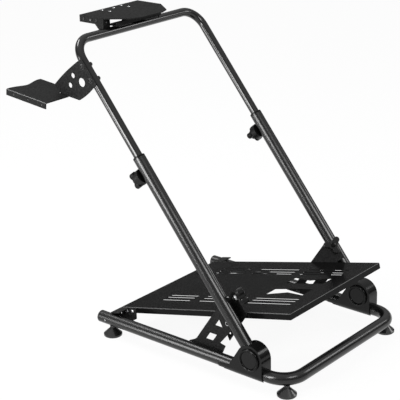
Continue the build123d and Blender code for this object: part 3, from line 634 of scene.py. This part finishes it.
# %% Bolts of the shifter arm
arm_low, arm_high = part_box("shifter_bracket")
ARM_FACE = arm_high.x / MM - MIDDLE_X
LEG_R = arm_low.x / MM - MIDDLE_X - HALF_TRACK
CAP_NUT_SINK = 0.05
LEG_INNER_FACE = HALF_TRACK - LEG_R + CAP_NUT_SINK
ARM_BOLTS_ALONG = (868.0, 913.0)
CAP_NUT_PROFILE = ((0, 9.5, 0), (3.4, 8.8, 0), (5.4, 6.6, 0), (6.2, 4.6, 0), (6.5, 4.4, 1), (6.5, -0.3, 1),
                   (0, -0.3, 0))

arm_screws = [facing(on_upright(ARM_FACE, along, 0), (1, 0, 0), spin=0.3) for along in ARM_BOLTS_ALONG]
cap_nuts = [facing(on_upright(LEG_INNER_FACE, along, 0), (-1, 0, 0), spin=0.3) for along in ARM_BOLTS_ALONG]
turned("arm_washer", washer(16.0, 8.2, 0.8), arm_screws, "top_frame", black_bolt)
turned("arm_screw", button_head(13, 4.4, 6), arm_screws, "top_frame", black_bolt)
turned("arm_cap_nut", CAP_NUT_PROFILE, cap_nuts, "top_frame", black_bolt)

# %% [markdown]
# Each side lip of the wheel plate has two screws, and each tab behind the top bar has one. The plate's
# holes are lined with zinc thread inserts: countersunk sleeves whose thin rims lie on the plate. They are
# placed from the plate's box.

# %% Fasteners of the wheel plate
plate_low, plate_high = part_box("wheel_plate")
PLATE_HALF = (plate_high.x - plate_low.x) / 2 / MM
PLATE_USER_Y = plate_low.y / MM
PLATE_TOP = plate_high.z / MM
LIP_SCREWS_Y = (15.3, 65.3)
LIP_SCREW_DROP = 11
TAB_SCREW_X = 109
TAB_SCREW_Y = 93.64
TAB_SCREW_DROP = 13
INSERTS = [(0, 18)] + [(x, y) for y in (11, 41) for x in (40, -40)]
INSERT_PROFILE = ((2.0, -3.0, 0), (2.0, -1.4, 0), (3.5, 0.02, 0), (4.8, 0.02, 0), (4.8, -0.3, 0),
                  (3.48, -0.3, 0), (3.45, -3.0, 0), (2.0, -3.0, 0))


def on_plate(x, y, drop):
    """Point in mm: sideways from the middle plane, forward of the plate's driver's edge, below its top."""
    return (MIDDLE_X + x, PLATE_USER_Y + y, PLATE_TOP - drop)


lip_screws, tab_screws = [], []
for side in SIDES:
    lip_screws += [facing(on_plate(side * PLATE_HALF, y, LIP_SCREW_DROP), (side, 0, 0), spin=0.4)
                   for y in LIP_SCREWS_Y]
    tab_screws.append(facing(on_plate(side * TAB_SCREW_X, TAB_SCREW_Y, TAB_SCREW_DROP), (0, 1, 0), spin=0.4))
inserts = [facing(on_plate(x, y, 0), (0, 0, 1)) for x, y in INSERTS]
turned("lip_screw", button_head(8.5, 2.4, 3), lip_screws, "top_frame", black_bolt)
turned("tab_screw", button_head(8.5, 2.8, 3), tab_screws, "top_frame", black_bolt)
turned("thread_insert", INSERT_PROFILE, inserts, "top_frame", zinc_steel)

# %% [markdown]
# The plates are welded to the tubes. A weld bead is a round bar of metal that was laid down drop by drop,
# so its thickness ripples along its length and it runs out to nothing at both ends. It lies half sunk in
# the corner. A curve with a bevel would give an even bar; a ring grid takes the ripple from one formula.

# %% Weld beads
BEAD_STEPS = 12
BEAD_RINGS = 96
RIPPLE = 0.10
RIPPLE_MM = 2.6
END_STEEPNESS = 6
# a direction that no bead runs in, to start each bead's rings from
ASKEW = (0.31, 0.52, 0.79)


def weld_beads(name, lines, bead_r, body):
    """Round beads along lines: r(s) = bead_r * (1 + 0.10 cos(2 pi s / 2.6 mm)), drawn in to 0 at the ends."""
    s = np.linspace(0, 1, BEAD_RINGS)
    turn = np.linspace(0, 2 * np.pi, BEAD_STEPS, endpoint=False)
    ends = np.minimum(1, np.sqrt(np.sin(np.pi * s) * END_STEEPNESS))
    grids = []
    for start, end in lines:
        start = np.array(start, float)
        run = np.array(end, float) - start
        length = np.linalg.norm(run)
        side = np.cross(run / length, ASKEW)
        side /= np.linalg.norm(side)
        over = np.cross(run / length, side)
        radius = bead_r * (1 + RIPPLE * np.cos(2 * np.pi * s * length / RIPPLE_MM)) * ends
        rim = np.cos(turn)[:, None] * side + np.sin(turn)[:, None] * over
        grids.append(start + s[:, None, None] * run + radius[:, None, None] * rim)
    points = np.concatenate([grid.reshape(-1, 3) for grid in grids]) * MM
    finished_piece(name, points, ring_quads(BEAD_RINGS, BEAD_STEPS, len(lines)), body, satin_coat)


# %% [markdown]
# On the top bar, short beads lie at the tabs on the driver's side, and longer ones along both edges of the
# channel on top. They ride on the top frame.

# %% Welds on the top bar
TOP_BAR_ALONG = 990.0
TAB_WELD_X = (97, 120)
TAB_WELD_OFF = Vector((0, -12.2, 5))
CHANNEL_WELD_STARTS = (-85, 25)
CHANNEL_WELD_LENGTH = 60
CHANNEL_WELD_Y = 8.5
CHANNEL_WELD_RISE = 11.0

bar = Vector(on_upright(0, TOP_BAR_ALONG, 0))
frame_lines = []
for side in SIDES:
    frame_lines.append([bar + TAB_WELD_OFF + Vector((side * x, 0, 0)) for x in TAB_WELD_X])
    for start in CHANNEL_WELD_STARTS:
        frame_lines.append([bar + Vector((x, side * CHANNEL_WELD_Y, CHANNEL_WELD_RISE))
                            for x in (start, start + CHANNEL_WELD_LENGTH)])
weld_beads("frame_weld", frame_lines, 2.0, "top_frame")

# %% [markdown]
# The hood of each hinge wraps round the base tube. Its lower edges are held by two short beads on each
# side, low on the tube's round, at an angle below its axis.

# %% Welds of the hinge hoods
HOOD_WELD_ANGLE = math.radians(55)
HOOD_WELD_OUT = 17.8
HOOD_WELD_DOWN = 18.6
HOOD_WELD_STARTS = (-95, -15)
HOOD_WELD_LENGTH = 45

weld_z = TUBE_AXIS_HEIGHT - HOOD_WELD_DOWN * math.sin(HOOD_WELD_ANGLE)
base_lines = []
for side in SIDES:
    for wrap in (1, -1):
        x = side * HALF_TRACK + wrap * HOOD_WELD_OUT * math.cos(HOOD_WELD_ANGLE)
        for start in HOOD_WELD_STARTS:
            base_lines.append([from_hinge(x, y, weld_z) for y in (start, start + HOOD_WELD_LENGTH)])
weld_beads("hinge_weld", base_lines, 1.8, "base")

# %% [markdown]
# The last cell prints the size of the box round the bare solids.

# %% Size of the bare solids
print("cad box", [round(v, 4) for v in cad_high - cad_low])
